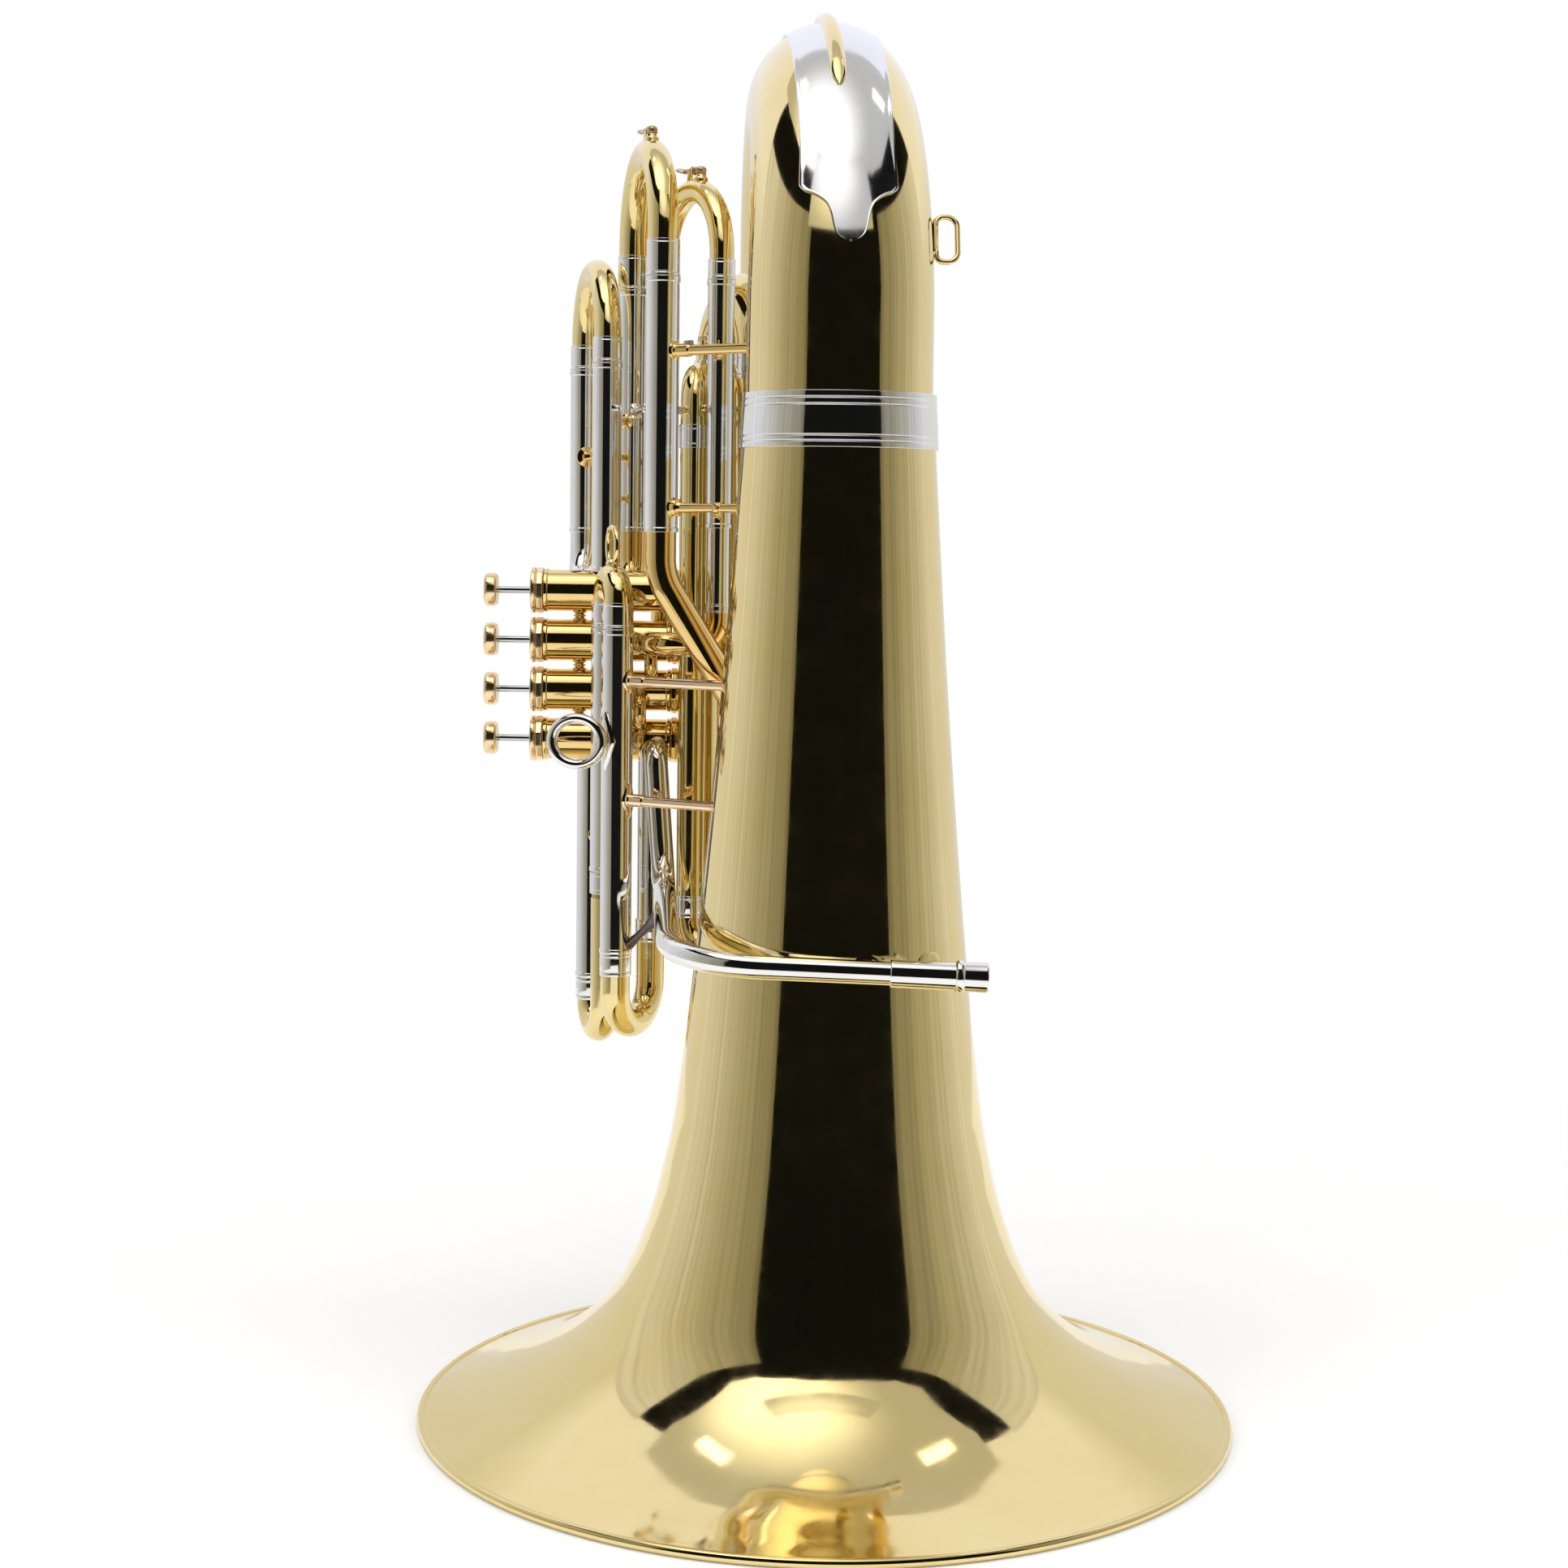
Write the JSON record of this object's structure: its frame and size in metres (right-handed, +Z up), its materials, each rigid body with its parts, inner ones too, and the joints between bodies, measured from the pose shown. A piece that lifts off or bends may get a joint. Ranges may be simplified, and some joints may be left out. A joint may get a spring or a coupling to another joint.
{
  "type": "tuba",
  "caption": "Brass tuba standing on its bell, with folded conical branches, horizontal piston valves, pull slides, water keys, a leadpipe and a mouthpiece receiver.",
  "frame": {"origin": "on the floor plane of the bell rim, under the middle of the bounding box", "axes": "+Z up along the bell axis from the rim to the top bow; the valve buttons point to -X; the branches lie behind the bell towards +Y"},
  "size_m": [0.508, 0.5584, 0.8797],
  "materials": {
    "yellow_brass": "polished and lacquered",
    "deep_brass": "polished and lacquered",
    "nickel_silver": "polished nickel silver",
    "polished_steel": "polished"
  },
  "bodies": {
    "horn": {"bell": "yellow_brass", "bell_ferrule": "nickel_silver", "bow_guard": "nickel_silver", "brace_bell_branch": "yellow_brass", "brace_branches": "yellow_brass", "brace_lower": "nickel_silver", "brace_turned": "yellow_brass", "brace_upper": "yellow_brass", "brace_valves": "nickel_silver", "feed_tube": "deep_brass", "first_fixed_bow": "yellow_brass", "first_sleeve_front": "nickel_silver", "first_sleeve_left": "nickel_silver", "first_sleeve_middle": "nickel_silver", "fourth_sleeve_far": "nickel_silver", "fourth_sleeve_near": "nickel_silver", "guard_wire": "yellow_brass", "inner_bow": "yellow_brass", "inner_branch": "yellow_brass", "leadpipe": "nickel_silver", "lower_bow": "yellow_brass", "main_bow": "yellow_brass", "main_sleeve_far": "nickel_silver", "main_sleeve_near": "nickel_silver", "mouthpiece_receiver": "nickel_silver", "outer_branch": "yellow_brass", "small_loop": "yellow_brass", "strap_ring": "nickel_silver", "third_branch": "yellow_brass", "third_sleeve_left": "nickel_silver", "third_sleeve_right": "nickel_silver", "thumb_ring": "nickel_silver", "valve_1_bottom_cap": "deep_brass", "valve_1_casing": "deep_brass", "valve_1_spring": "polished_steel", "valve_1_top_cap": "deep_brass", "valve_2_bottom_cap": "deep_brass", "valve_2_casing": "deep_brass", "valve_2_spring": "polished_steel", "valve_2_top_cap": "deep_brass", "valve_3_bottom_cap": "deep_brass", "valve_3_casing": "deep_brass", "valve_3_spring": "polished_steel", "valve_3_top_cap": "deep_brass", "valve_4_bottom_cap": "deep_brass", "valve_4_casing": "deep_brass", "valve_4_spring": "polished_steel", "valve_4_top_cap": "deep_brass"},
    "piston_1": {"valve_1_piston": "polished_steel"},
    "piston_2": {"valve_2_piston": "polished_steel"},
    "piston_3": {"valve_3_piston": "polished_steel"},
    "piston_4": {"valve_4_piston": "polished_steel"},
    "main_slide_body": {"main_slide": "yellow_brass"},
    "fourth_slide_body": {"fourth_slide": "yellow_brass"},
    "third_slide_body": {"third_slide": "yellow_brass"},
    "second_slide_body": {"second_slide": "yellow_brass"},
    "first_slide_body": {"first_slide": "yellow_brass"},
    "first_low_slide_body": {"first_low_slide": "yellow_brass"},
    "water_key_main_body": {"water_key_main": "yellow_brass"},
    "water_key_third_body": {"water_key_third": "yellow_brass"}
  },
  "joints": [
    {"name": "valve_1_press", "type": "slide", "parent": "horn", "child": "piston_1", "axis": [1, 0, 0], "range_m": [0, 0.017], "stiffness_N_per_m": 150, "springref_m": -0.02, "deforming": ["valve_1_spring"]},
    {"name": "valve_2_press", "type": "slide", "parent": "horn", "child": "piston_2", "axis": [1, 0, 0], "range_m": [0, 0.017], "stiffness_N_per_m": 150, "springref_m": -0.02, "deforming": ["valve_2_spring"]},
    {"name": "valve_3_press", "type": "slide", "parent": "horn", "child": "piston_3", "axis": [1, 0, 0], "range_m": [0, 0.017], "stiffness_N_per_m": 150, "springref_m": -0.02, "deforming": ["valve_3_spring"]},
    {"name": "valve_4_press", "type": "slide", "parent": "horn", "child": "piston_4", "axis": [1, 0, 0], "range_m": [0, 0.017], "stiffness_N_per_m": 150, "springref_m": -0.02, "deforming": ["valve_4_spring"]},
    {"name": "main_slide_pull", "type": "slide", "parent": "horn", "child": "main_slide_body", "axis": [0, 0, 1], "range_m": [0, 0.08]},
    {"name": "fourth_slide_pull", "type": "slide", "parent": "horn", "child": "fourth_slide_body", "axis": [0, 0, 1], "range_m": [0, 0.065]},
    {"name": "third_slide_pull", "type": "slide", "parent": "horn", "child": "third_slide_body", "axis": [0, 0, 1], "range_m": [0, 0.065]},
    {"name": "second_slide_pull", "type": "slide", "parent": "horn", "child": "second_slide_body", "axis": [0, 1, 0], "range_m": [0, 0.03]},
    {"name": "first_slide_pull", "type": "slide", "parent": "horn", "child": "first_slide_body", "axis": [0, 0, 1], "range_m": [0, 0.045]},
    {"name": "first_low_slide_pull", "type": "slide", "parent": "horn", "child": "first_low_slide_body", "axis": [0, 0, -1], "range_m": [0, 0.05]},
    {"name": "water_key_main_press", "type": "hinge", "parent": "main_slide_body", "child": "water_key_main_body", "pos_m": [-0.12405, 0.11228, 0.80945], "axis": [-0.9736, -0.2284, 0], "range_deg": [0, 20], "stiffness_Nm_per_rad": 0.05, "springref_deg": -20.05},
    {"name": "water_key_third_press", "type": "hinge", "parent": "third_slide_body", "child": "water_key_third_body", "pos_m": [-0.0948, 0.11728, 0.78489], "axis": [-0.8874, -0.461, 0], "range_deg": [0, 20], "stiffness_Nm_per_rad": 0.05, "springref_deg": -20.05}
  ]
}
